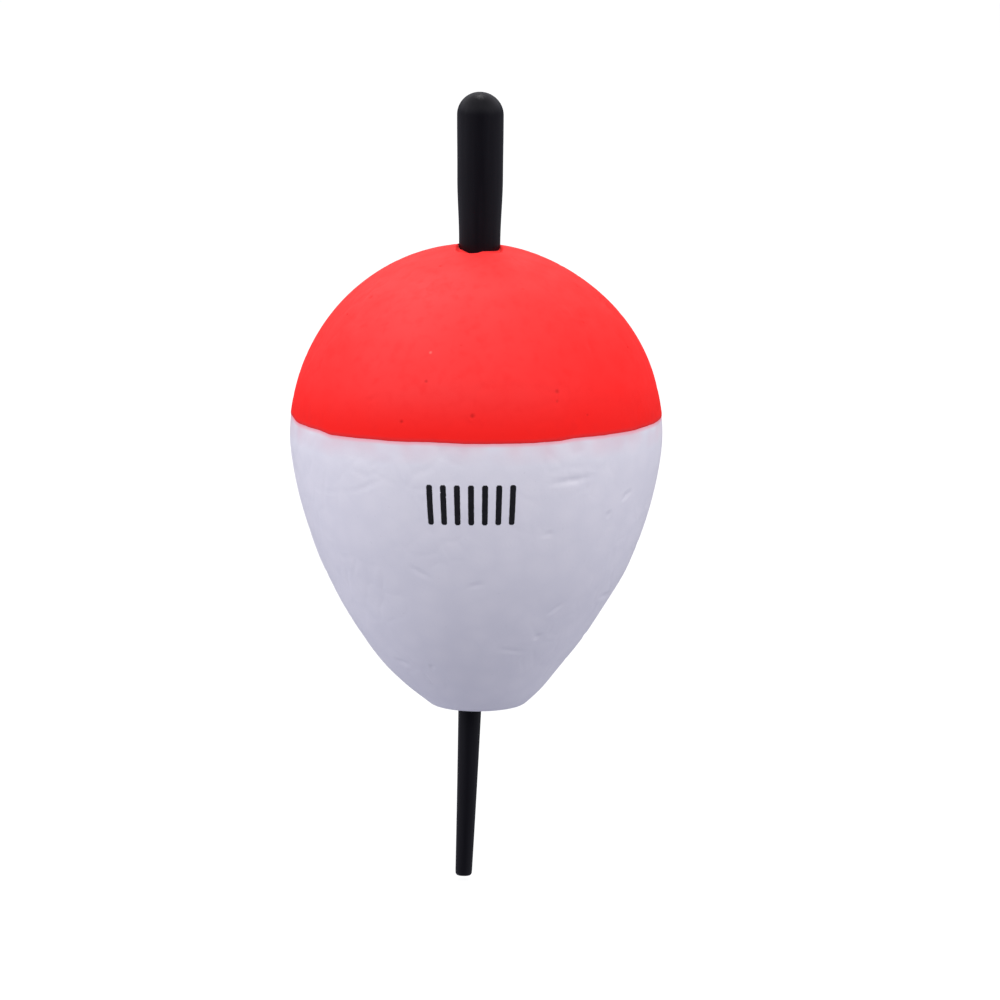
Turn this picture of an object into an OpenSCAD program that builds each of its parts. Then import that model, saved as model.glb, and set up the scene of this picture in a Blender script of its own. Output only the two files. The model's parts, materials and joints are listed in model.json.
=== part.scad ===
// Peg float for fishing: a foam egg with a painted crown, held on the line by a tapered plastic peg.
// The origin is on the body's axis at the middle of its flat bottom, and +Z points up through the crown.

/* [Body] */
// Diameter of the body over its white coat
body_d = 47.8; // [44:0.1:52]
// Height of the body over its white coat, from the flat bottom to the crown
body_h = 59.9; // [57:0.1:66]
// How far below its widest ring the body still follows the crown's sphere, in degrees
flank_start = 8.6; // [6:0.1:12]
// Slope at which the long flank ends, in degrees from upright
flank_end = 48.4; // [46:0.1:52]
// Radius of the corner between the flank and the flat bottom
corner_r = 2.1; // [1.5:0.1:3]

/* [Bore] */
// Diameter of the bore that the line runs through
bore_d = 5.4; // [5.4:0.1:6]
// How far the bore stands off the body's axis
bore_offset = 0.4; // [0:0.1:0.8]

/* [Paint] */
// Thickness of the white coat
white_t = 0.2; // [0.15:0.05:0.3]
// Thickness of the red coat, which lies over the white one
red_t = 0.1; // [0.1:0.05:0.2]
// Height of the line between red and white
colour_line = 36.9; // [33:0.1:45]

/* [Load mark] */
// Number of strokes, one for each five grams that the float carries
stroke_count = 7; // [1:1:9]
// Width of one stroke
stroke_w = 0.75; // [0.5:0.05:0.9]
// Distance from one stroke to the next
stroke_pitch = 1.75; // [1.5:0.05:2]
// Length of a stroke
stroke_len = 5.2; // [3:0.1:6]
// Height of the mark's lower edge
mark_low = 26.4; // [22:0.1:27]
// How far round the body the mark stands from the front, in degrees
mark_turn = -1.5; // [-20:0.1:20]

/* [Peg] */
// Diameter of the peg's head
head_d = 5.9; // [5.7:0.05:6.4]
// Length of the head's straight part, below its round end
head_len = 8; // [6:0.5:12]
// Length of the neck, between the head and the crown
neck_len = 8.35; // [6:0.05:12]
// Diameter of the peg where it enters the crown
mouth_d = 5.26; // [5:0.02:5.3]
// Diameter of the peg at its lower tip
tip_d = 2.06; // [1.6:0.02:2.6]
// Length of the shank, from the crown down to the tip
shank_len = 82; // [74:1:95]
// Radius of the tip's rounded edge
tip_round = 0.45; // [0.2:0.05:0.6]

/* [Hidden] */
$fn = 240;

// Body outline: the crown's sphere, one long flank arc and a corner arc, each tangent to the next
crown_r = body_d / 2;
equator_z = body_h - crown_r;
flank_r = (equator_z - crown_r * sin(flank_start) - corner_r * (1 - sin(flank_end)))
    / (sin(flank_end) - sin(flank_start));
flank_c = [
    (crown_r - flank_r) * cos(flank_start),
    equator_z - (crown_r - flank_r) * sin(flank_start)
];
corner_c = [flank_c.x + (flank_r - corner_r) * cos(flank_end), corner_r];

// Number of straight steps that stand for each of the three arcs
crown_steps = 36;
flank_steps = 24;
corner_steps = 8;

// The load mark's ink, and the body's radius where the mark is
ink_t = 0.06;
mark_drop = flank_c.y - mark_low - stroke_len / 2;
mark_r = flank_c.x + sqrt(flank_r * flank_r - mark_drop * mark_drop);

bore_r = bore_d / 2;
// Spare length of the bore's cutter at each end
cut_spare = 1;

// The peg is wedged across the bore: it rests on one side at the crown and on the other at the bottom,
// less a little room where the two would touch
touch_gap = 0.02;
top_z = body_h + red_t;
head_r = head_d / 2;
mouth_r = mouth_d / 2;
tip_r = tip_d / 2;
exit_r = mouth_r - (mouth_r - tip_r) * top_z / shank_len;
play_top = bore_r - mouth_r - touch_gap;
play_bottom = bore_r - exit_r - touch_gap;
peg_lean = atan((play_top + play_bottom) / top_z);

// Points along an arc, without its first one; angles are in degrees, anticlockwise from the right
function arc(centre, radius, from, to, steps) = [
    for (i = [1 : steps])
        let (angle = from + (to - from) * i / steps)
            centre + radius * [cos(angle), sin(angle)]
];

// Half of the body's cross-section, grown by `out` all round
module outline(out) {
    crown = arc([0, equator_z], crown_r + out, 90, -flank_start, crown_steps);
    flank = arc(flank_c, flank_r + out, -flank_start, -flank_end, flank_steps);
    corner = arc(corner_c, corner_r + out, -flank_end, -90, corner_steps);
    polygon(concat([[0, -out], [0, body_h + out]], crown, flank, corner));
}

// Half of the cross-section of a layer on the body, between two growths of its outline
module layer(inner, outer) {
    difference() {
        outline(outer);
        outline(inner);
    }
}

module bore() {
    translate([bore_offset, 0, -cut_spare]) cylinder(h = body_h + 2 * cut_spare, r = bore_r);
}

module foam_core() {
    color("whitesmoke") difference() {
        rotate_extrude() outline(-white_t);
        bore();
    }
}

module white_coat() {
    color("lavender") difference() {
        rotate_extrude() layer(-white_t, 0);
        bore();
    }
}

module red_coat() {
    color("tomato") difference() {
        rotate_extrude() intersection() {
            layer(0, red_t);
            translate([0, colour_line]) square([body_d, body_h]);
        }
        bore();
    }
}

// One ink stroke, lying on the white coat and centred on the angle `turn`
module stroke(turn) {
    width_angle = stroke_w / mark_r * 180 / PI;
    rotate([0, 0, turn - width_angle / 2]) rotate_extrude(angle = width_angle) intersection() {
        layer(0, ink_t);
        translate([0, mark_low]) square([body_d, stroke_len]);
    }
}

module load_mark() {
    front = -90;
    pitch_angle = stroke_pitch / mark_r * 180 / PI;
    color("black") for (i = [0 : stroke_count - 1]) {
        stroke(front + mark_turn + (i - (stroke_count - 1) / 2) * pitch_angle);
    }
}

// Half of the peg's cross-section, upright, with its height counted from the crown
module peg_outline() {
    polygon([
        [0, -shank_len],
        [tip_r - tip_round, -shank_len],
        [tip_r, tip_round - shank_len],
        [mouth_r, 0],
        [head_r, neck_len],
        [head_r, neck_len + head_len],
        [0, neck_len + head_len]
    ]);
    intersection() {
        translate([tip_r - tip_round, tip_round - shank_len]) circle(tip_round);
        translate([0, -shank_len]) square([tip_r, tip_round]);
    }
    intersection() {
        translate([0, neck_len + head_len]) circle(head_r);
        translate([0, neck_len + head_len]) square(head_r);
    }
}

module peg() {
    color("dimgray") translate([bore_offset + play_top, 0, top_z]) rotate([0, peg_lean, 0])
        rotate_extrude() peg_outline();
}

foam_core();
white_coat();
red_coat();
load_mark();
peg();
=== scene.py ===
import json
import math
import random

import bmesh
import bpy
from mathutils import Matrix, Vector, noise


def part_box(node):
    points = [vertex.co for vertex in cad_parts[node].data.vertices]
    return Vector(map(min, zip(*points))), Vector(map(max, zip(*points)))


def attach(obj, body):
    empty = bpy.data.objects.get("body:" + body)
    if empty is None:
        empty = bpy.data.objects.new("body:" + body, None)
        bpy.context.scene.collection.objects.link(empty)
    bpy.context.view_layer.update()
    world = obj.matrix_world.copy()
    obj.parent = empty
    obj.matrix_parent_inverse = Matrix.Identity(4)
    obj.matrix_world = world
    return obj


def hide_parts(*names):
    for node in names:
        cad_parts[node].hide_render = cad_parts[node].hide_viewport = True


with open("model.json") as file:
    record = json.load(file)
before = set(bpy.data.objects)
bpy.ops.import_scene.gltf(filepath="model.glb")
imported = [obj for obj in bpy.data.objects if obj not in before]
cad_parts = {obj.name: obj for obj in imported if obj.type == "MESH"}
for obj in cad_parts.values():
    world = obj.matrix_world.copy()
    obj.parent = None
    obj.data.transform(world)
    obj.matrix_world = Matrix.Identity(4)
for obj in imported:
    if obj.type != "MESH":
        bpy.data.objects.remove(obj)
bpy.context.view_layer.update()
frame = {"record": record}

# Looks of the peg float: a painted foam body with a printed load mark, and its black plastic peg.
# Lengths are in metres. Turns are in radians round the body from its front (-Y), towards +X.

MM = 0.001
UP = Vector((0, 0, 1))

# ---------------------------------------------------------------------------------------------
# Sizes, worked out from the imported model
# ---------------------------------------------------------------------------------------------

mounts = {mount["name"]: mount for mount in frame["record"]["mounts"]}
foam_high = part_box("foam_core")[1]
white_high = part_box("white_coat")[1]
red_low, red_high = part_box("red_coat")
mark_low, mark_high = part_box("load_mark")
peg_low, peg_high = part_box("peg")

CROWN_R = white_high.x
WHITE_T = white_high.x - foam_high.x
BORE_R = mounts["line_bore"]["dims"]["r_mm"] * MM
BORE_X = mounts["line_bore"]["pos_m"][0]
BORE_NEAR = BORE_R - BORE_X
EQUATOR = white_high.z - math.sqrt(CROWN_R**2 - BORE_NEAR**2)

# The red coat is a little thinner than the model's, which leaves room for its lip and its nib
RED_T = 0.85 * (red_high.z - white_high.z)

# The outline's two slopes and its corner, as the model has them
FLANK_START = math.radians(8.6)
FLANK_END = math.radians(48.4)
CORNER_R = 2.1 * MM

FLANK_R = (
    EQUATOR - CROWN_R * math.sin(FLANK_START) - CORNER_R * (1 - math.sin(FLANK_END))
) / (math.sin(FLANK_END) - math.sin(FLANK_START))
FLANK_C = Vector((
    (CROWN_R - FLANK_R) * math.cos(FLANK_START),
    EQUATOR - (CROWN_R - FLANK_R) * math.sin(FLANK_START),
))
FLAT_R = FLANK_C.x + (FLANK_R - CORNER_R) * math.cos(FLANK_END)

# Each arc of the outline: its centre (radius, height), its own radius, and its first and last slope
ARCS = [
    (Vector((FLAT_R, CORNER_R)), CORNER_R, -math.pi / 2, -FLANK_END),
    (FLANK_C, FLANK_R, -FLANK_END, -FLANK_START),
    (Vector((0, EQUATOR)), CROWN_R, -FLANK_START, math.pi / 2),
]
OUTLINE_LENGTH = FLAT_R + sum(radius * (end - start) for _, radius, start, end in ARCS)
CROWN_RIM = OUTLINE_LENGTH - CROWN_R * math.asin(BORE_R / CROWN_R)

# ---------------------------------------------------------------------------------------------
# The body's skin: its outline turned round the axis, and what makes a cast body uneven
# ---------------------------------------------------------------------------------------------

# How much of the outline bends aside to meet the bore, which stands off the axis
RIM_BLEND = 5 * MM

# Faint seams between the foam's beads, with their width as a share of a bead, and broad waves
BEAD_SIZE = 3.0 * MM
SEAM_DEPTH = 0.045 * MM
SEAM_WIDTH = 0.16
SEAM_PATCH_SIZE = 2.4 * BEAD_SIZE
WAVE_SIZE = 11 * MM
WAVE_RELIEF = 0.05 * MM

# The flank stands a little to the left and the foot a little to the right
FLANK_SWAY = -0.37 * MM
FLANK_SWAY_TOP = 18.5 * MM
FLANK_SWAY_BLEND = 8 * MM
FOOT_SWAY = 0.57 * MM
FOOT_SWAY_TOP = 6 * MM

# The foot's edge is worn, most at its two sides, and the crown has shrunk a little under its coats
FOOT_WEAR = 0.22 * MM
FOOT_WEAR_ALL_ROUND = 0.4
FOOT_WEAR_REACH = 3.2 * MM
CROWN_SHRINK = 0.2 * MM
SHRINK_START = EQUATOR - CORNER_R
SHRINK_BLEND = 4 * CORNER_R

# Broad lumps and flats of the casting: (turn in degrees, height, reach and rise in mm)
LUMPS = [
    (90, 55.4, 15, -0.25), (-90, 47, 9, -0.08), (-90, 19.2, 5.5, 0.13), (-90, 10.9, 6, -0.17),
    (90, 14, 5.5, -0.12), (160, 47, 12, 0.1), (205, 22, 9, -0.12), (150, 15, 6, 0.1),
]

# Creases and small dents that the beads have left: (turn in degrees, height in mm, length in mm,
# tilt in degrees, depth in mm)
CREASES = [
    (31, 31.8, 9, 5, 0.16), (56.5, 29, 3.0, 30, 0.18), (48.5, 26.8, 1.0, 0, 0.18),
    (-36, 31, 7, 22, 0.07), (-20.8, 19.9, 4.6, -32, 0.1), (0, 18.3, 3.6, 14, 0.11),
    (36, 14.7, 4.6, 38, 0.14), (20, 9.1, 5.4, -10, 0.12), (-25.4, 6.7, 1.1, 0, 0.13),
    (32.5, 10.9, 1.8, 20, 0.14), (-46.7, 7, 3.0, -12, 0.18), (24.6, 24.9, 2.6, 8, 0.1),
    (-34.2, 56.1, 2.2, 0, 0.1), (45, 48.4, 1.8, 60, 0.1), (-35, 42, 3.2, 25, 0.07),
]
MORE_CREASES = 26
CREASE_WIDTH = 0.5 * MM

# The dent that the peg has pressed into the mouth's front edge: a squarish hollow with a nearly
# flat floor and steep sides, a notch in its front, and a burr on its rim
DENT_Y = -2.3 * MM
DENT_HALF_WIDTH = 3.0 * MM
DENT_HALF_DEPTH = 2.8 * MM
DENT_SINK = 0.58 * MM
DENT_SQUARENESS = 4
DENT_STEEPNESS = 12
NOTCH_X = -0.5 * MM
NOTCH_REACH = 1.5 * MM
NOTCH_SINK = 0.4 * MM
BURR_X = 1.0 * MM
BURR_Y = -4.95 * MM
BURR_REACH = 0.5 * MM
BURR_RISE = 0.1 * MM

# How far the colour line rises above its lowest point, round the body: (turn in degrees, rise in mm)
LINE_RISES = [
    (-145, 0.3), (-118, 0.5), (-84, 1.1), (-70, 0.64), (-58, 0.5), (-50, 0.12), (-38, 0.12),
    (-24, 0.08), (-13, 0.14), (0, 0.0), (17, 0.0), (25, 0.08), (33, 0.34), (54, 0.4),
    (69, 0.6), (84, 0.75), (122, 0.1), (150, 0.25), (182, 0.05), (215, 0.3),
]
LINE_TREMBLE = 0.04 * MM
LINE_TREMBLE_SIZE = 1.3 * MM


def ease(share):
    """Smooth step from 0 to 1."""
    share = min(max(share, 0.0), 1.0)
    return share * share * (3 - 2 * share)


def outline(way):
    """Radius, height and slope of the outline, `way` along it from the middle of the flat bottom."""
    if way < FLAT_R:
        return way, 0.0, -math.pi / 2
    way -= FLAT_R
    for centre, radius, start, end in ARCS:
        if way <= radius * (end - start):
            break
        way -= radius * (end - start)
    slope = start + way / radius
    return centre.x + radius * math.cos(slope), centre.y + radius * math.sin(slope), slope


def way_at(height):
    """How far along the outline a height above the corner arc is."""
    way = FLAT_R
    for centre, radius, start, end in ARCS:
        if height <= centre.y + radius * math.sin(end):
            break
        way += radius * (end - start)
    return way + radius * (math.asin((height - centre.y) / radius) - start)


def facing(turn):
    """The level direction that faces outwards at a turn."""
    return Vector((math.sin(turn), -math.cos(turn), 0))


def bore_edge(turn):
    """Distance from the body's axis to the bore's wall, which stands off to one side."""
    return BORE_X * math.sin(turn) + math.sqrt(BORE_R**2 - (BORE_X * math.cos(turn)) ** 2)


def sway(radius, height):
    """How far the body stands to the side at a height; nothing at the bore's lower mouth."""
    side = FLANK_SWAY * ease((FLANK_SWAY_TOP - height) / FLANK_SWAY_BLEND)
    side += FOOT_SWAY * ease(1 - height / FOOT_SWAY_TOP)
    return side * ease((radius - BORE_R) / (FLAT_R - BORE_R))


def scattered_creases():
    """Creases on the sides and the back, which carry on what the front shows."""
    chance = random.Random(11)
    made = []
    for _ in range(MORE_CREASES):
        turn = chance.uniform(68, 292)
        height = chance.uniform(5, 54)
        length = chance.uniform(1, 6)
        tilt = chance.uniform(-40, 40)
        depth = chance.uniform(0.06, 0.18)
        made.append((turn, height, length, tilt, depth))
    return made


def plain_point(turn, height):
    """A point on the plain outline, and its directions round and up the body, for a turn in degrees."""
    turn = math.radians(turn)
    radius, height, slope = outline(way_at(height * MM))
    round_body = Vector((math.cos(turn), math.sin(turn), 0))
    up_body = UP * math.cos(slope) - facing(turn) * math.sin(slope)
    return facing(turn) * radius + UP * height, round_body, up_body


def lump_places():
    """Centre, reach and rise of each lump."""
    return [
        (plain_point(turn, height)[0], reach * MM, rise * MM) for turn, height, reach, rise in LUMPS
    ]


def crease_places():
    """Centre, direction along, direction across, half length and depth of each crease."""
    places = []
    for turn, height, length, tilt, depth in CREASES + scattered_creases():
        centre, round_body, up_body = plain_point(turn, height)
        tilt = math.radians(tilt)
        along = round_body * math.cos(tilt) + up_body * math.sin(tilt)
        across = up_body * math.cos(tilt) - round_body * math.sin(tilt)
        places.append((centre, along, across, max(length * MM / 2, CREASE_WIDTH), depth * MM))
    return places


LUMP_PLACES = lump_places()
CREASE_PLACES = crease_places()


def lump_rise(point):
    """How far lumps and creases lift a point of the skin."""
    rise = 0.0
    for centre, reach, height in LUMP_PLACES:
        away = (point - centre).length
        if away < reach:
            rise += height * ease(1 - away / reach)
    for centre, along, across, half, depth in CREASE_PLACES:
        offset = point - centre
        if abs(offset.z) < half + CREASE_WIDTH and offset.length < half + CREASE_WIDTH:
            share = ease(1 - abs(offset.dot(along)) / half) * ease(1 - abs(offset.dot(across)) / CREASE_WIDTH)
            rise -= depth * share
    return rise


def mouth_rise(point):
    """How far the peg's dent with its notch, and the burr on its rim, lift a point of the crown."""
    across = abs(point.x - BORE_X) / DENT_HALF_WIDTH
    deep = abs(point.y - DENT_Y) / DENT_HALF_DEPTH
    from_dent = (across**DENT_SQUARENESS + deep**DENT_SQUARENESS) ** (1 / DENT_SQUARENESS)
    from_notch = abs(point.x - NOTCH_X) / NOTCH_REACH
    from_burr = math.hypot(point.x - BURR_X, point.y - BURR_Y) / BURR_REACH
    sunk = DENT_SINK * max(0.0, 1 - from_dent**DENT_STEEPNESS)
    sunk += NOTCH_SINK * ease(1 - from_notch) * ease(2 - 1.6 * from_dent)
    return BURR_RISE * ease(1 - from_burr) - sunk


def relief(point):
    """Broad unevenness of the casting, and seams between the foam's beads that show here and there."""
    nearest, next_near = noise.voronoi(point / BEAD_SIZE)[0][:2]
    seam = 1 - ease((next_near - nearest) / SEAM_WIDTH)
    shown = ease(0.5 + 1.6 * noise.noise(point / SEAM_PATCH_SIZE + UP * 3))
    return WAVE_RELIEF * noise.noise(point / WAVE_SIZE) - SEAM_DEPTH * seam * shown


def skin(turn, way, out=0.0):
    """A point `out` above the white coat, `turn` round the body and `way` along its outline."""
    shift = bore_edge(turn) - BORE_R
    way += shift * (1 - ease((way - BORE_R) / RIM_BLEND))
    way -= shift * (1 - ease((CROWN_RIM - way) / RIM_BLEND))
    radius, height, slope = outline(way)
    point = facing(turn) * radius + UP * height
    normal = facing(turn) * math.cos(slope) + UP * math.sin(slope)
    fade = ease((height - CORNER_R) / CORNER_R)
    out += (relief(point) + lump_rise(point)) * fade
    out -= CROWN_SHRINK * ease((height - SHRINK_START) / SHRINK_BLEND)
    if height > EQUATOR:
        out += mouth_rise(point)
    else:
        worn = FOOT_WEAR * (FOOT_WEAR_ALL_ROUND + (1 - FOOT_WEAR_ALL_ROUND) * math.sin(turn) ** 2)
        worn *= ease((radius - BORE_R) / (FLAT_R - BORE_R))
        point.z += worn * ease(1 - height / FOOT_WEAR_REACH)
    point.x += sway(radius, height)
    return point + normal * out


def line_rise(turn):
    """How far the colour line stands above its lowest point at a turn."""
    degrees = (math.degrees(turn) + 145) % 360 - 145
    for (low, low_rise), (high, high_rise) in zip(LINE_RISES, LINE_RISES[1:]):
        if degrees <= high:
            share = ease((degrees - low) / (high - low))
            return (low_rise + (high_rise - low_rise) * share) * MM
    return LINE_RISES[-1][1] * MM


def line_way(turn):
    """How far along the outline the colour line is."""
    tremble = LINE_TREMBLE * noise.noise(facing(turn) * CROWN_R / LINE_TREMBLE_SIZE)
    return way_at(red_low.z + line_rise(turn) + tremble)


# ---------------------------------------------------------------------------------------------
# Mesh helpers
# ---------------------------------------------------------------------------------------------


def spread(start, end, step):
    """Even steps from start to end, both included, each about `step` long."""
    count = max(1, round(abs(end - start) / step))
    return [start + (end - start) * i / count for i in range(count + 1)]


def turns(count):
    """Even turns round the body."""
    return [math.tau * i / count for i in range(count)]


def ring_mesh(name, rings, ends):
    """A closed mesh of rings. `ends` is "joined", "capped", or the two points that close it."""
    count = len(rings[0])
    points = [point for ring in rings for point in ring]
    faces = []
    pairs = list(zip(range(len(rings)), range(1, len(rings))))
    if ends == "joined":
        pairs.append((len(rings) - 1, 0))
    for low, high in pairs:
        for i in range(count):
            j = (i + 1) % count
            faces.append((low * count + i, low * count + j, high * count + j, high * count + i))
    last = (len(rings) - 1) * count
    if ends == "capped":
        faces.append(tuple(range(count)))
        faces.append(tuple(range(last, last + count)))
    elif ends != "joined":
        points += list(ends)
        for i in range(count):
            j = (i + 1) % count
            faces.append((i, j, len(points) - 2))
            faces.append((last + i, last + j, len(points) - 1))
    mesh = bpy.data.meshes.new(name)
    mesh.from_pydata(points, [], faces)
    shape = bmesh.new()
    shape.from_mesh(mesh)
    bmesh.ops.recalc_face_normals(shape, faces=shape.faces)
    shape.to_mesh(mesh)
    shape.free()
    return mesh


def piece(name, mesh, material, body, node):
    """Puts a mesh into the scene, riding on a body in place of a node of the model."""
    mesh.materials.append(material)
    for face in mesh.polygons:
        face.use_smooth = True
    made = bpy.data.objects.new(name, mesh)
    bpy.context.scene.collection.objects.link(made)
    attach(made, body)
    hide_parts(node)


# ---------------------------------------------------------------------------------------------
# Material helpers
# ---------------------------------------------------------------------------------------------


def connect(tree, value, socket):
    """Links the socket to a value that another node gives, or sets it to a plain value."""
    if isinstance(value, bpy.types.NodeSocket):
        tree.links.new(value, socket)
    else:
        socket.default_value = value


def add_node(tree, kind, inputs=None, **settings):
    """Adds a node with its settings, and feeds its inputs, which go by name or number."""
    node = tree.nodes.new(kind)
    for key, value in settings.items():
        setattr(node, key, value)
    for key, value in (inputs or {}).items():
        connect(tree, value, node.inputs[key])
    return node


def maths(tree, operation, *values):
    """The result of one Math node."""
    return add_node(tree, "ShaderNodeMath", dict(enumerate(values)), operation=operation).outputs[0]


def blend(tree, share, first, second):
    """The colour between two colours, by share."""
    node = add_node(tree, "ShaderNodeMix", data_type="RGBA")
    colours = [socket for socket in node.inputs if socket.type == "RGBA"]
    for value, socket in ((share, node.inputs[0]), (first, colours[0]), (second, colours[1])):
        connect(tree, value, socket)
    return next(socket for socket in node.outputs if socket.type == "RGBA")


class Look:
    """A material built round one Principled shader, with textures measured in metres."""

    def __init__(self, name, **values):
        self.material = bpy.data.materials.new(name)
        self.material.use_nodes = True
        self.tree = self.material.node_tree
        self.shader = next(node for node in self.tree.nodes if node.type == "BSDF_PRINCIPLED")
        self.place = self.add("ShaderNodeTexCoord").outputs["Object"]
        for socket, value in values.items():
            self.shader.inputs[socket.replace("_", " ")].default_value = value

    def add(self, kind, inputs=None, **settings):
        return add_node(self.tree, kind, inputs, **settings)

    def stretched(self, factors):
        """The place, scaled along each axis, for textures that run one way."""
        node = self.add("ShaderNodeVectorMath", {0: self.place, 1: factors}, operation="MULTIPLY")
        return node.outputs["Vector"]

    def noise(self, size, detail=2.0, rough=0.5, place=None):
        """Cloudy noise with features about `size` metres across."""
        inputs = {"Vector": place or self.place, "Scale": 1 / size, "Detail": detail, "Roughness": rough}
        return self.add("ShaderNodeTexNoise", inputs).outputs["Fac"]

    def cells(self, size, feature="F1"):
        """Cells about `size` metres across, as the distance from their middles or their edges."""
        inputs = {"Vector": self.place, "Scale": 1 / size}
        return self.add("ShaderNodeTexVoronoi", inputs, feature=feature).outputs["Distance"]

    def attribute(self, name):
        """A number that the mesh keeps for each of its points."""
        return self.add("ShaderNodeAttribute", attribute_name=name).outputs["Fac"]

    def span(self, value, low, high, to_low=0.0, to_high=1.0, smooth=False):
        """Carries low..high over to to_low..to_high, and clamps."""
        inputs = {"Value": value, "From Min": low, "From Max": high, "To Min": to_low, "To Max": to_high}
        kind = "SMOOTHSTEP" if smooth else "LINEAR"
        return self.add("ShaderNodeMapRange", inputs, interpolation_type=kind).outputs["Result"]

    def maths(self, operation, *values):
        return maths(self.tree, operation, *values)

    def blend(self, share, first, second):
        return blend(self.tree, share, first, second)

    def bump(self, height, depth, below=None):
        """Relief `depth` metres high, on top of what is below."""
        inputs = {"Height": height, "Distance": depth, "Strength": 1.0}
        if below is not None:
            inputs["Normal"] = below
        return self.add("ShaderNodeBump", inputs).outputs["Normal"]

    def feed(self, **sockets):
        """Links the shader's sockets, named with _ for a space."""
        for key, value in sockets.items():
            connect(self.tree, value, self.shader.inputs[key.replace("_", " ")])


def rgb(red, green, blue):
    """A colour from values of 0 to 255 as a screen shows them."""
    def linear(value):
        value /= 255
        return value / 12.92 if value <= 0.04045 else ((value + 0.055) / 1.055) ** 2.4
    return (linear(red), linear(green), linear(blue), 1.0)


def white_paint():
    look = Look("white_paint", Roughness=0.5, IOR=1.45, Specular_IOR_Level=0.2)
    body = look.blend(look.noise(14 * MM, 2.0), rgb(225, 222, 229), rgb(231, 228, 235))
    mottled = look.blend(look.span(look.cells(BEAD_SIZE), 0.2, 0.75, 0.0, 0.4), body, rgb(218, 216, 225))
    dusty = look.span(look.noise(0.45 * MM, 2.0), 0.7, 0.78, 0.0, 0.15)
    specked = look.blend(dusty, mottled, rgb(176, 172, 182))
    below = look.attribute("from_line")
    patchy = look.span(look.noise(4 * MM, 1.0), 0.3, 0.7)
    blush = look.maths("MULTIPLY", look.span(below, 0.1, 3.0, 0.5, 0.0), patchy)
    blushed = look.blend(blush, specked, rgb(222, 168, 180))
    bleed = look.span(below, 0.05, 0.6, 0.85, 0.0, smooth=True)
    look.feed(Base_Color=look.blend(bleed, blushed, rgb(245, 160, 172)))
    look.feed(Roughness=look.span(look.noise(3 * MM, 3.0), 0.3, 0.7, 0.42, 0.58))
    grain = look.bump(look.noise(0.5 * MM, 2.0), 0.008 * MM)
    look.feed(Normal=look.bump(look.noise(2.2 * MM, 3.0, 0.6), 0.03 * MM, grain))
    return look.material


# Painted sheen: the red is painted paler round the crown's shoulder, as much behind as in front, for the
# overhead light's sheen
SHEEN_PATCH_CENTRE = (-7 * MM, 16 * MM, 56 * MM)
SHEEN_PATCH_REACH = 28 * MM


def red_paint():
    look = Look("red_paint", Roughness=0.7, IOR=1.45, Specular_IOR_Level=0.08)
    above = look.attribute("from_line")
    parts = look.add("ShaderNodeSeparateXYZ", {0: look.place}).outputs
    both_sides = {"X": parts["X"], "Y": look.maths("ABSOLUTE", parts["Y"]), "Z": parts["Z"]}
    folded = look.add("ShaderNodeCombineXYZ", both_sides).outputs["Vector"]
    from_sheen_patch = look.add("ShaderNodeVectorMath", {0: folded, 1: SHEEN_PATCH_CENTRE}, operation="DISTANCE")
    # Painted sheen: paler red near the crown's shoulder
    painted_sheen = look.span(from_sheen_patch.outputs["Value"], 0.0, SHEEN_PATCH_REACH, 1.0, 0.0)
    body = look.blend(painted_sheen, rgb(250, 42, 40), rgb(242, 71, 71))
    # Painted shade: the red is darker and deeper towards the colour line, where the overhead light's sheen
    # fades
    low = look.blend(look.span(above, 0.0, 7.0, smooth=True), rgb(247, 33, 29), body)
    worn = look.blend(look.span(look.noise(12 * MM, 2.0), 0.3, 0.7, 0.0, 0.3), low, rgb(249, 36, 34))
    mottled = look.blend(look.span(look.noise(1.4 * MM, 2.0), 0.5, 0.75, 0.0, 0.3), worn, rgb(240, 34, 34))
    edged = look.blend(look.span(above, 0.15, 0.65, 0.45, 0.0, smooth=True), mottled, rgb(214, 56, 60))
    # Painted shade: each pinhole is darkened by its depth, as shade in its hollow
    pit = look.attribute("pit")
    pit_shaded = look.blend(look.span(pit, 0.0, 1.0, 0.0, 0.36), edged, rgb(110, 10, 12))
    look.feed(Base_Color=look.blend(look.span(pit, -0.8, 0.0, 0.7, 0.0), pit_shaded, rgb(255, 128, 118)))
    look.feed(Roughness=look.span(look.noise(3 * MM, 3.0), 0.3, 0.7, 0.62, 0.78))
    grain = look.bump(look.noise(0.5 * MM, 2.0), 0.008 * MM)
    look.feed(Normal=look.bump(look.noise(2.0 * MM, 3.0, 0.6), 0.025 * MM, grain))
    return look.material


def black_ink():
    look = Look("black_ink", Roughness=0.5, Specular_IOR_Level=0.2)
    thin = look.span(look.noise(0.35 * MM, 2.0), 0.35, 0.7)
    look.feed(Base_Color=look.blend(thin, rgb(14, 13, 16), rgb(26, 25, 30)))
    look.feed(Normal=look.bump(look.noise(0.25 * MM, 1.0), 0.004 * MM))
    return look.material


def bead_foam():
    look = Look("bead_foam", Roughness=0.85)
    seam = look.cells(BEAD_SIZE, "DISTANCE_TO_EDGE")
    look.feed(Base_Color=look.blend(look.span(seam, 0.0, 0.12), rgb(196, 194, 190), rgb(238, 238, 236)))
    fine = look.bump(look.noise(0.3 * MM, 2.0), 0.02 * MM)
    look.feed(Normal=look.bump(look.span(seam, 0.0, 0.2), 0.1 * MM, fine))
    return look.material


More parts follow.
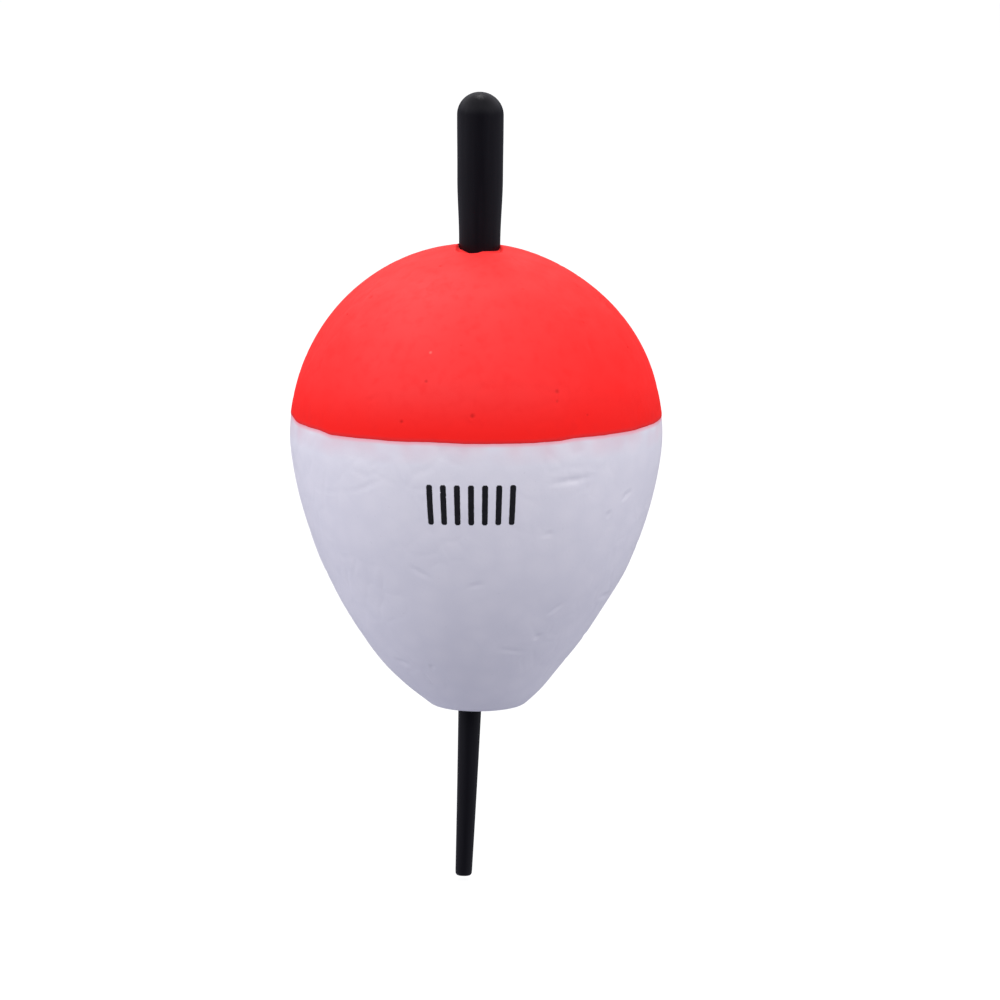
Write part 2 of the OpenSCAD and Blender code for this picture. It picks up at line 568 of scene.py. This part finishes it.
def black_plastic():
    look = Look("black_plastic", Roughness=0.35, IOR=1.5, Specular_IOR_Level=0.13)
    along = look.stretched((1, 1, 0.06))
    dusty = look.span(look.noise(0.6 * MM, 3.0, 0.6, along), 0.4, 0.8)
    look.feed(Base_Color=look.blend(dusty, rgb(13, 12, 17), rgb(18, 17, 22)))
    look.feed(Roughness=look.span(look.noise(1.5 * MM, 3.0, 0.6, along), 0.3, 0.7, 0.3, 0.42))
    fine = look.bump(look.noise(0.25 * MM, 2.0), 0.004 * MM)
    look.feed(Normal=look.bump(look.noise(0.8 * MM, 2.0, 0.5, along), 0.012 * MM, fine))
    return look.material


# ---------------------------------------------------------------------------------------------
# The body: foam core, white coat, red coat and load mark
# ---------------------------------------------------------------------------------------------

# How finely the skin is cut up: fine where it shows, coarse where it is hidden
SKIN_TURNS = turns(480)
SKIN_STEP = 0.33 * MM
MOUTH_STEP = 0.15 * MM
HIDDEN_STEP = 3.0 * MM
HIDDEN_MOUTH_STEP = 0.5 * MM
MOUTH_REACH = 3.0 * MM

# How far the white coat's fine part runs on under the red coat, and the gap between hidden faces
UNDER_RED = 1.2 * MM
GAP = 0.01 * MM

# The bore's wall: how finely it is cut up, and the seams between its cut beads, with their width as
# a share of a bead and their fade at both mouths as a share of the bore's length
BORE_TURNS = turns(112)
BORE_ROWS = 240
WALL_SEAM_WIDTH = 0.18
WALL_SEAM_DEPTH = 0.16 * MM
WALL_SEAM_FADE = 0.01


def crown_rows(start, step, mouth_step):
    """Ways from a start up to the mouth, closer together near the mouth."""
    turning = CROWN_RIM - MOUTH_REACH
    return spread(start, turning, step) + spread(turning, CROWN_RIM, mouth_step)[1:]


def store(mesh, name, values):
    """Keeps one number for each point of a mesh, for its material to read."""
    mesh.attributes.new(name, "FLOAT", "POINT").data.foreach_set("value", values)


def make_foam_core():
    """The moulded foam, which shows only in the bore; its wall is cut through beads."""
    rows = spread(BORE_R, 2 * FLAT_R, HIDDEN_MOUTH_STEP)[:-1]
    rows += crown_rows(2 * FLAT_R, HIDDEN_STEP / 2, HIDDEN_MOUTH_STEP)
    rings = [[skin(turn, way, -WHITE_T - GAP) for turn in BORE_TURNS] for way in rows]
    mouth, foot = rings[-1], rings[0]
    for drop in spread(0.0, 1.0, 1 / BORE_ROWS)[1:-1]:
        ring = []
        for top, low in zip(mouth, foot):
            point = top.lerp(low, drop)
            nearest, next_near = noise.voronoi(point / BEAD_SIZE)[0][:2]
            seam = 1 - ease((next_near - nearest) / WALL_SEAM_WIDTH)
            fade = ease(drop / WALL_SEAM_FADE) * ease((1 - drop) / WALL_SEAM_FADE)
            outwards = Vector((point.x - BORE_X, point.y, 0)).normalized()
            ring.append(point + outwards * (WALL_SEAM_DEPTH * seam * fade))
        rings.append(ring)
    mesh = ring_mesh("foam_core_beads", rings, "joined")
    piece("foam_core_beads", mesh, bead_foam(), "float_body", "foam_core")


def make_white_coat():
    """The white coat: fine where it shows, coarse under the red coat and inside."""
    shown_to = way_at(red_low.z) + UNDER_RED
    # (how far along the outline, height over the plain skin) of the coat's edge at the lower mouth
    edge = [(BORE_R, -0.1 * MM), (BORE_R + 0.04 * MM, -0.04 * MM), (BORE_R + 0.12 * MM, 0.0)]
    shown = [(way, 0.0) for way in spread(edge[-1][0], shown_to, SKIN_STEP)[1:]]
    hidden = [(way, -GAP) for way in crown_rows(shown_to, HIDDEN_STEP, HIDDEN_MOUTH_STEP)[1:]]
    foot = spread(BORE_R, 2 * FLAT_R, HIDDEN_MOUTH_STEP)[:-1]
    inside = [(way, -WHITE_T) for way in foot + crown_rows(2 * FLAT_R, HIDDEN_STEP, HIDDEN_MOUTH_STEP)]
    inside.reverse()
    rows = edge + shown + hidden + inside
    rings = [[skin(turn, way, out) for turn in SKIN_TURNS] for way, out in rows]
    mesh = ring_mesh("white_coat_skin", rings, "joined")
    line_ways = [line_way(turn) for turn in SKIN_TURNS]
    store(mesh, "from_line", [(at_line - way) / MM for way, _ in rows for at_line in line_ways])
    piece("white_coat_skin", mesh, white_paint(), "float_body", "white_coat")


# Pinholes in the red coat that show from the front: (turn in degrees, height in mm, width in mm,
# share of the full depth). The last one is a nib of dust, which stands up, so its share is negative.
PINHOLES = [
    (-1, 40.4, 0.85, 1), (-23.5, 39.5, 0.7, 1), (27, 43.2, 0.8, 0.8), (26.5, 42, 0.6, 0.6),
    (-16.4, 44.6, 0.65, 0.9), (-58, 53.9, 0.8, 1), (-65.7, 51.6, 0.7, 1), (-28.5, 57.9, 0.7, 1),
    (25.3, 55.4, 0.6, 0.8), (47.7, 51.1, 0.55, 0.6), (68, 47.4, 0.6, 1), (65.5, 55.1, 0.6, 0.8),
    (36.9, 40, 0.45, 0.6), (-5.4, 49, 0.45, 0.6), (-16.2, 48.1, 0.55, -0.8),
]
MORE_PINHOLES = 18
PINHOLE_DEPTH = 0.8 * RED_T
PINHOLE_MARGIN = 0.3 * MM


def pinhole_places():
    """Centre, radius and share of the full depth of each pinhole, with more scattered behind."""
    chance = random.Random(7)
    holes = list(PINHOLES)
    for _ in range(MORE_PINHOLES):
        turn = chance.uniform(75, 285)
        height = chance.uniform(38.5, 57)
        width = chance.uniform(0.5, 0.9)
        holes.append((turn, height, width, 1))
    places = []
    for turn, height, width, share in holes:
        centre = skin(math.radians(turn), way_at(height * MM), RED_T)
        places.append((centre, width * MM / 2, share))
    return places


def sink_pinholes(mesh):
    """Cuts the mesh finer round each pinhole and presses it in, or lifts it for the nib.

    Returns each point's share of the full depth.
    """
    shape = bmesh.new()
    shape.from_mesh(mesh)
    middle = Vector((0, 0, EQUATOR))
    places = pinhole_places()
    for centre, radius, _ in places:
        near = [
            face for face in shape.faces
            if (face.calc_center_median() - centre).length < radius + PINHOLE_MARGIN
            and face.normal.dot(centre - middle) > 0
        ]
        edges = {edge for face in near for edge in face.edges}
        bmesh.ops.subdivide_edges(shape, edges=list(edges), cuts=2, use_grid_fill=True)
    depths = []
    shape.verts.ensure_lookup_table()
    for vert in shape.verts:
        depth = 0.0
        for centre, radius, full in places:
            outwards = (centre - middle).normalized()
            away = (vert.co - centre).length / radius
            if away < 1 and (vert.co - centre).dot(outwards) > -RED_T / 2:
                depth = full * (1 - away**2) ** 2
                vert.co -= outwards * depth * PINHOLE_DEPTH
        depths.append(depth)
    shape.to_mesh(mesh)
    shape.free()
    return depths


# The lip into which the red paint has gathered round the mouth, with its mean rise as a share of
# the coat
LIP_REACH = 0.8 * MM
LIP_SWELL = 0.8


def make_red_coat():
    """The red coat, with a rounded lower edge and a thickened lip round the mouth."""
    # (how far above the colour line, share of the full thickness) across the lower edge
    edge = [(0.0, 0.1), (0.05 * MM, 0.4), (0.12 * MM, 0.66), (0.22 * MM, 0.87), (0.36 * MM, 1.0)]
    low = way_at(red_low.z)
    length = CROWN_RIM - low
    shown = [(way - low) / length for way in crown_rows(low, SKIN_STEP, MOUTH_STEP)]
    hidden = [(way - low) / length for way in crown_rows(low, HIDDEN_STEP, HIDDEN_MOUTH_STEP)]
    starts = [line_way(turn) for turn in SKIN_TURNS]
    rings = []
    heights = []
    for along, share in edge:
        rings.append([skin(turn, start + along, RED_T * share) for turn, start in zip(SKIN_TURNS, starts)])
        heights += [along / MM] * len(SKIN_TURNS)
    first = edge[-1][0]
    for part in shown[1:]:
        ring = []
        for turn, start in zip(SKIN_TURNS, starts):
            way = start + first + (CROWN_RIM - start - first) * part
            lip = 1 - ease((CROWN_RIM - way) / LIP_REACH)
            swell = LIP_SWELL + noise.noise(facing(turn) * 1.7 + UP)
            ring.append(skin(turn, way, RED_T * (1 + lip * swell)))
            heights.append((way - start) / MM)
        rings.append(ring)
    for part in reversed(hidden):
        rings.append([
            skin(turn, start + (CROWN_RIM - start) * part) for turn, start in zip(SKIN_TURNS, starts)
        ])
        heights += [part * length / MM] * len(SKIN_TURNS)
    mesh = ring_mesh("red_coat_skin", rings, "joined")
    store(mesh, "from_line", heights)
    store(mesh, "pit", sink_pinholes(mesh))
    piece("red_coat_skin", mesh, red_paint(), "float_body", "red_coat")


# The strokes of ink, the rounding of their ends and the waver of their edges
STROKES = 7
STROKE_W = 0.75 * MM
STROKE_ROUND = 0.16 * MM
STROKE_STEP = 0.2 * MM
STROKE_WOBBLE = 0.02 * MM
STROKE_WOBBLE_SIZE = 0.5 * MM
INK_T = 0.03 * MM


def make_load_mark():
    """Short upright strokes of ink, one for each five grams of load."""
    top_r = outline(way_at(mark_high.z))[0]
    mid_r = outline(way_at((mark_low.z + mark_high.z) / 2))[0]
    first = math.asin(mark_low.x / top_r)
    last = math.asin(mark_high.x / top_r)
    half_turn = STROKE_W / mid_r / 2
    low, high = way_at(mark_low.z), way_at(mark_high.z)
    across = spread(-1.0, 1.0, 0.2)
    material = black_ink()
    for i in range(STROKES):
        middle = first + half_turn + (last - first - 2 * half_turn) * i / (STROKES - 1)
        rings = []
        for way in spread(low, high, STROKE_STEP):
            from_end = min(way - low, high - way)
            cut = STROKE_ROUND - min(from_end, STROKE_ROUND)
            inset = STROKE_ROUND - math.sqrt(STROKE_ROUND**2 - cut**2)
            wobble = STROKE_WOBBLE * noise.noise(Vector((9.0 * i, way / STROKE_WOBBLE_SIZE, 0)))
            half = (STROKE_W / 2 - inset + wobble) / mid_r
            over = [skin(middle + half * u, way, INK_T * (1 - 0.5 * u**6)) for u in across]
            under = [skin(middle + half * u, way, -GAP) for u in reversed(across)]
            rings.append(over + under)
        name = f"load_stroke_{i + 1}"
        mesh = ring_mesh(name, rings, "capped")
        piece(name, mesh, material, "float_body", "load_mark")


# ---------------------------------------------------------------------------------------------
# The peg
# ---------------------------------------------------------------------------------------------

# The peg's head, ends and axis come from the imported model; its other radii are within 0.04 mm of
# the model's, and its neck is as long as the model's
HEAD_LEN = mounts["peg_head"]["dims"]["length_mm"] * MM
HEAD_R = mounts["peg_head"]["dims"]["r_mm"] * MM + 0.04 * MM
HEAD_WAIST_R = HEAD_R - 0.06 * MM
NECK_LEN = 8.35 * MM
MOUTH_R = 2.65 * MM
TIP_R = 1.06 * MM
TIP_ROUND = 0.45 * MM
PEG_AXIS = Vector(mounts["peg_head"]["axis"])
PEG_SIDE = Vector((PEG_AXIS.z, 0, -PEG_AXIS.x))
PEG_BACK = Vector((0, 1, 0))
PEG_MOUTH = Vector(mounts["peg_head"]["pos_m"]) - PEG_AXIS * (NECK_LEN + HEAD_LEN / 2)
SHANK_LEN = (PEG_MOUTH.z - peg_low.z) / PEG_AXIS.z - 0.02 * MM
DOME_LEN = (peg_high.z - PEG_MOUTH.z) / PEG_AXIS.z - NECK_LEN - HEAD_LEN - 0.01 * MM

# The peg came out of its mould a little bowed. The bow is widest in the middle of the bore, which
# takes up this share of the shank.
BOW = 0.18 * MM
BORE_SHARE = 0.732
BORE_HALF = SHANK_LEN * BORE_SHARE / 2

# The mould's seam, a fine ridge down both sides
SEAM_TURN = math.radians(68)
SEAM_RIDGE = 0.035 * MM
SEAM_RIDGE_HALF_WIDTH = 0.12 * MM


def peg_bow(along):
    """How far the peg's middle stands off its axis; nothing at the bore's two mouths."""
    from_middle = (along + BORE_HALF) / BORE_HALF
    return BOW * (1 - from_middle**2)


def peg_radius(along):
    """The peg's radius, `along` its axis from the crown."""
    if along < 0:
        return MOUTH_R + (MOUTH_R - TIP_R) / SHANK_LEN * along
    neck = (HEAD_WAIST_R - MOUTH_R) * ease(along / NECK_LEN)
    return MOUTH_R + neck + (HEAD_R - HEAD_WAIST_R) * ease((along - NECK_LEN) / HEAD_LEN)


def peg_ring(along, radius):
    """One ring of the peg, with the mould's seam as a ridge on both sides."""
    middle = PEG_MOUTH + PEG_AXIS * along + PEG_SIDE * peg_bow(along)
    ring = []
    for turn in PEG_TURNS:
        from_seam = abs((turn - SEAM_TURN + math.pi / 2) % math.pi - math.pi / 2)
        ridge = SEAM_RIDGE * (1 - ease(from_seam * radius / SEAM_RIDGE_HALF_WIDTH))
        reach = radius + ridge * min(1.0, radius / TIP_R)
        ring.append(middle + PEG_SIDE * math.sin(turn) * reach - PEG_BACK * math.cos(turn) * reach)
    return ring


PEG_TURNS = turns(128)
PEG_STEP = 0.6 * MM


def make_peg():
    """The tapered peg: rounded tip, long shank, neck and round-ended head."""
    rows = [(-SHANK_LEN, TIP_R - TIP_ROUND)]
    for angle in spread(-math.pi / 2, 0.0, math.pi / 12)[1:]:
        bend = TIP_R - TIP_ROUND + TIP_ROUND * math.cos(angle)
        rows.append((TIP_ROUND * (1 + math.sin(angle)) - SHANK_LEN, bend))
    head_top = NECK_LEN + HEAD_LEN
    for along in spread(TIP_ROUND - SHANK_LEN, head_top, PEG_STEP)[1:]:
        rows.append((along, peg_radius(along)))
    for angle in spread(0.0, math.pi / 2, math.pi / 40)[1:-1]:
        rows.append((head_top + DOME_LEN * math.sin(angle), HEAD_R * math.cos(angle)))
    rings = [peg_ring(along, radius) for along, radius in rows]
    tip, top = -SHANK_LEN, head_top + DOME_LEN
    ends = [PEG_MOUTH + PEG_AXIS * along + PEG_SIDE * peg_bow(along) for along in (tip, top)]
    mesh = ring_mesh("peg_moulding", rings, ends)
    piece("peg_moulding", mesh, black_plastic(), "peg", "peg")


make_foam_core()
make_white_coat()
make_red_coat()
make_load_mark()
make_peg()

# ---------------------------------------------------------------------------------------------
# Stage, light and camera
# ---------------------------------------------------------------------------------------------

# The floor's gap under the peg's tip and its flat part's radius, the bend up into the wall, and how
# tall the wall stands over the bend
FLOOR_GAP = 0.5 * MM
FLOOR_R = 3.0
WALL_BEND_R = 1.0
WALL_TALL = 1.5
FLOOR_TURNS = turns(96)

# How much of the floor's white is its own glow; the light adds the rest, save where a shadow falls
FLOOR_GLOW = 0.88
FLOOR_SHADE = 0.12

# The view: its width at the float, how far the camera looks down, how far off it is and how far it
# sees, and how far to the right of the peg's middle and under it the camera aims
VIEW_WIDTH = 128.24 * MM
VIEW_TILT = math.radians(7.3)
VIEW_DISTANCE = 1.5
VIEW_REACH = 50
AIM_RIGHT = 3.05 * MM
AIM_DOWN = 1.9 * MM

# The light from all round. Its strength rises evenly with height (SKY_SLOPE) and towards the left
# (SIDE_SLOPE), less a share (DIP) at the horizon, in front and behind, and overhead.
SKY_LEVEL = 1.75
SKY_SLOPE = 1.61
SIDE_SLOPE = 0.11
HORIZON_DIP = 0.8
HORIZON_SHARPNESS = 8
FRONT_DIP = 0.77
FRONT_SHARPNESS = 3
ZENITH_DIP = 0.82
ZENITH_SHARPNESS = 1.5
FROM_ABOVE = (1.0, 0.985, 0.99, 1)
FROM_BELOW = (0.9, 0.937, 1.2, 1)

# Each lamp's name, turn in degrees, height, distance, width, tallness, power in watts, and whether
# glossy surfaces mirror it
LAMPS = [
    ("softbox_left", -81, 0.3, 0.8, 0.2, 0.6, 0.2, True),
    ("softbox_right", 62, 0.3, 0.8, 0.16, 0.6, 0.13, True),
    ("softbox_top", 180, 0.8, 0.3, 0.2, 0.2, 1.4, True),
    ("fill_front", 0, 0.8, 0.7, 1.0, 1.0, 5.0, False),
    ("fill_back", 180, 0.8, 0.7, 1.0, 1.0, 5.0, False),
    ("bounce_left", -90, -0.2, 0.6, 0.4, 0.4, 0.33, False),
    ("bounce_right", 90, -0.2, 0.6, 0.4, 0.4, 0.39, False),
]


def make_floor():
    """A plain white floor just under the peg's tip, bent up far out into a plain white room.

    It catches a shadow, and throws no light back.
    """
    rows = []
    for angle in spread(0.0, math.pi / 2, math.pi / 96):
        rows.append((FLOOR_R + WALL_BEND_R * math.sin(angle), WALL_BEND_R * (1 - math.cos(angle))))
    rows.append((FLOOR_R + WALL_BEND_R, WALL_BEND_R + WALL_TALL))
    floor_z = peg_low.z - FLOOR_GAP
    rings = [
        [facing(turn) * radius + UP * (floor_z + rise) for turn in FLOOR_TURNS] for radius, rise in rows
    ]
    mesh = ring_mesh("floor", rings, "capped")
    look = Look(
        "floor_white",
        Base_Color=(FLOOR_SHADE, FLOOR_SHADE, FLOOR_SHADE, 1),
        Emission_Color=(1, 1, 1, 1),
        Emission_Strength=FLOOR_GLOW,
        Roughness=1.0,
        Specular_IOR_Level=0.0,
    )
    mesh.materials.append(look.material)
    floor = bpy.data.objects.new("floor", mesh)
    bpy.context.scene.collection.objects.link(floor)
    floor.visible_diffuse = False
    floor.visible_glossy = False
    floor.visible_shadow = False


def make_world():
    """Soft light from all round, stronger and warmer from above than from below.

    It is dimmed at the horizon, in front and behind, and overhead.
    """
    world = bpy.data.worlds.new("studio")
    bpy.context.scene.world = world
    world.use_nodes = True
    tree = world.node_tree
    background = next(node for node in tree.nodes if node.type == "BACKGROUND")
    place = add_node(tree, "ShaderNodeTexCoord").outputs["Generated"]
    parts = add_node(tree, "ShaderNodeSeparateXYZ", {0: place}).outputs
    rise = parts["Z"]
    level = maths(tree, "MULTIPLY_ADD", rise, SKY_SLOPE, SKY_LEVEL)
    level = maths(tree, "MULTIPLY_ADD", parts["X"], -SIDE_SLOPE, level)
    near_horizon = maths(tree, "SUBTRACT", 1.0, maths(tree, "MULTIPLY", rise, rise))
    dips = (
        (near_horizon, HORIZON_SHARPNESS, HORIZON_DIP),
        (maths(tree, "ABSOLUTE", parts["Y"]), FRONT_SHARPNESS, FRONT_DIP),
        (maths(tree, "MAXIMUM", rise, 0.0), ZENITH_SHARPNESS, ZENITH_DIP),
    )
    for nearness, sharpness, dip in dips:
        lost = maths(tree, "POWER", nearness, sharpness)
        level = maths(tree, "MULTIPLY", level, maths(tree, "MULTIPLY_ADD", lost, -dip, 1.0))
    connect(tree, level, background.inputs["Strength"])
    height_share = maths(tree, "MULTIPLY_ADD", rise, 0.5, 0.5)
    connect(tree, blend(tree, height_share, FROM_BELOW, FROM_ABOVE), background.inputs["Color"])


def make_lamp(name, azimuth, height, distance, width, tall, power, mirrored):
    """A rectangular lamp aimed at the body's middle, which the camera doesn't see."""
    light = bpy.data.lights.new(name, "AREA")
    light.shape = "RECTANGLE"
    light.size = width
    light.size_y = tall
    light.energy = power
    lamp = bpy.data.objects.new(name, light)
    bpy.context.scene.collection.objects.link(lamp)
    lamp.location = facing(math.radians(azimuth)) * distance + UP * height
    aim = UP * EQUATOR - lamp.location
    lamp.rotation_euler = aim.to_track_quat("-Z", "Y").to_euler()
    lamp.visible_camera = False
    lamp.visible_glossy = mirrored


def make_camera():
    """A long lens, a little above the float and aimed beside its middle."""
    low, high = peg_low.z, peg_high.z
    aim = Vector((AIM_RIGHT, 0, (low + high) / 2 - AIM_DOWN))
    data = bpy.data.cameras.new("camera")
    data.lens = data.sensor_width * VIEW_DISTANCE / VIEW_WIDTH
    data.clip_end = VIEW_REACH
    camera = bpy.data.objects.new("camera", data)
    bpy.context.scene.collection.objects.link(camera)
    back = Vector((0, -math.cos(VIEW_TILT), math.sin(VIEW_TILT)))
    camera.location = aim + back * VIEW_DISTANCE
    camera.rotation_euler = (-back).to_track_quat("-Z", "Y").to_euler()
    bpy.context.scene.camera = camera


make_floor()
make_world()
for lamp in LAMPS:
    make_lamp(*lamp)
make_camera()

view = bpy.context.scene.view_settings
view.view_transform = "Standard"
view.look = "None"
view.exposure = 0.0
